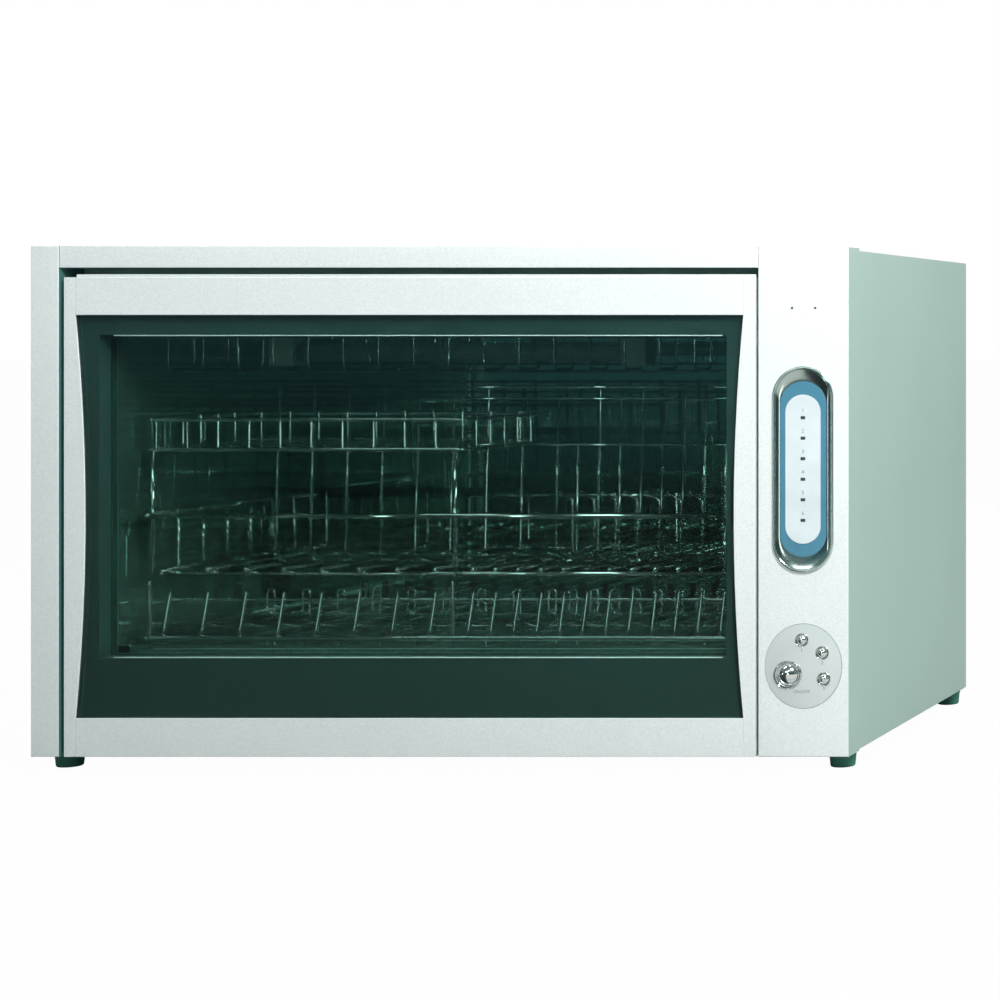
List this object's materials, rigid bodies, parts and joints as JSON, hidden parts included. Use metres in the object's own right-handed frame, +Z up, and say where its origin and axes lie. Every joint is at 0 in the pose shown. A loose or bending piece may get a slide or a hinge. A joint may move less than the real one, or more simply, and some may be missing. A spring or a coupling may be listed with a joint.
{
  "type": "dish sterilizer cabinet",
  "caption": "Countertop dish sterilizer cabinet with a lift-up glass door, pull-out wire racks, a drip tray, a lift-out basket and a control column.",
  "frame": {"origin": "bottom centre of the whole cabinet, on the surface that the feet stand on", "axes": "+X to the right seen from the front, +Y to the back, +Z up"},
  "size_m": [0.64, 0.375, 0.412],
  "materials": {
    "trim_silver": "satin silver",
    "shell_paint": "satin grey-green",
    "zinc_steel": "zinc plated",
    "stainless": "brushed",
    "rack_wire": "electropolished",
    "tinted_glass": "tinted, polished",
    "clear_glass": "clear",
    "lamp_glass": "quartz",
    "frame_black": "satin dark",
    "rubber": "matte",
    "ceramic": "ceramic",
    "black_plastic": "moulded",
    "ballast_white": "moulded",
    "circuit_board": "solder resist",
    "brass_posts": "turned",
    "pad_silver": "satin silver",
    "chrome": "polished",
    "pill_blue": "gloss blue",
    "pill_white": "gloss white",
    "led_dark": "smoked"
  },
  "bodies": {
    "root": {"left_stile": "trim_silver", "top_rail": "trim_silver", "control_fascia": "trim_silver", "side_panel_left": "shell_paint", "side_panel_right": "shell_paint", "top_panel": "shell_paint", "base_pan": "shell_paint", "rear_panel": "shell_paint", "rear_screws": "zinc_steel", "cable_gland": "rubber", "feet": "rubber", "chamber_frame": "zinc_steel", "liner_floor": "stainless", "liner_ceiling": "stainless", "liner_left": "stainless", "liner_right": "stainless", "liner_back": "stainless", "liner_supports": "zinc_steel", "upper_runners": "stainless", "lower_runners": "stainless", "uv_lamp_tube": "lamp_glass", "uv_lamp_holders": "ceramic", "uv_lamp_guard": "rack_wire", "heater_tube": "lamp_glass", "heater_holders": "ceramic", "heater_shield": "stainless", "fan_housing": "black_plastic", "lamp_ballast": "ballast_white", "ozone_generator": "black_plastic", "terminal_block": "black_plastic", "door_switch": "black_plastic", "hinge_brackets": "zinc_steel", "button_pad": "pad_silver", "button_rings": "chrome", "pill_bezel": "chrome", "pill_plate": "pill_blue", "pill_label_plate": "pill_white", "led_windows": "led_dark", "display_board": "circuit_board", "control_board": "circuit_board", "board_standoffs": "brass_posts"},
    "door": {"door_top_rail": "trim_silver", "door_bottom_rail": "trim_silver", "door_stile_left": "trim_silver", "door_stile_right": "trim_silver", "door_glass": "tinted_glass", "door_inner_frame": "frame_black", "door_inner_glass": "clear_glass", "door_back_plate": "zinc_steel", "door_gasket": "rubber", "hinge_pins": "zinc_steel"},
    "upper_rack": {"upper_rack": "rack_wire"},
    "lower_rack": {"lower_rack": "rack_wire"},
    "basket": {"basket": "rack_wire"},
    "drip_tray": {"drip_tray": "stainless"},
    "fan_rotor": {"fan_impeller": "black_plastic"},
    "power_button": {"power_button": "chrome"},
    "light_button": {"light_button": "chrome"},
    "dry_button": {"dry_button": "chrome"},
    "steam_button": {"steam_button": "chrome"}
  },
  "joints": [
    {"name": "door_hinge", "type": "hinge", "parent": "root", "child": "door", "pos_m": [0, -0.1695, 0.376], "axis": [-1, 0, 0], "range_deg": [0, 85]},
    {"name": "upper_rack_slide", "type": "slide", "parent": "root", "child": "upper_rack", "axis": [0, -1, 0], "range_m": [0, 0.134]},
    {"name": "lower_rack_slide", "type": "slide", "parent": "root", "child": "lower_rack", "axis": [0, -1, 0], "range_m": [0, 0.1934]},
    {"name": "drip_tray_slide", "type": "slide", "parent": "root", "child": "drip_tray", "axis": [0, -1, 0], "range_m": [0, 0.1934]},
    {"name": "basket_lift", "type": "slide", "parent": "upper_rack", "child": "basket", "axis": [0, 0, 1], "range_m": [0, 0.03]},
    {"name": "fan_spin", "type": "hinge", "parent": "root", "child": "fan_rotor", "pos_m": [0.2268, 0.0475, 0.219], "axis": [1, 0, 0], "continuous": true},
    {"name": "power_button_press", "type": "slide", "parent": "root", "child": "power_button", "axis": [0, 1, 0], "range_m": [0, 0.0015], "stiffness_N_per_m": 900},
    {"name": "light_button_press", "type": "slide", "parent": "root", "child": "light_button", "axis": [0, 1, 0], "range_m": [0, 0.0015], "stiffness_N_per_m": 900},
    {"name": "dry_button_press", "type": "slide", "parent": "root", "child": "dry_button", "axis": [0, 1, 0], "range_m": [0, 0.0015], "stiffness_N_per_m": 900},
    {"name": "steam_button_press", "type": "slide", "parent": "root", "child": "steam_button", "axis": [0, 1, 0], "range_m": [0, 0.0015], "stiffness_N_per_m": 900}
  ],
  "couplings": [
    {"joint": "upper_rack_slide", "follows": "door_hinge", "m_per_rad": 0.09},
    {"joint": "lower_rack_slide", "follows": "door_hinge", "m_per_rad": 0.13},
    {"joint": "drip_tray_slide", "follows": "door_hinge", "m_per_rad": 0.13}
  ]
}
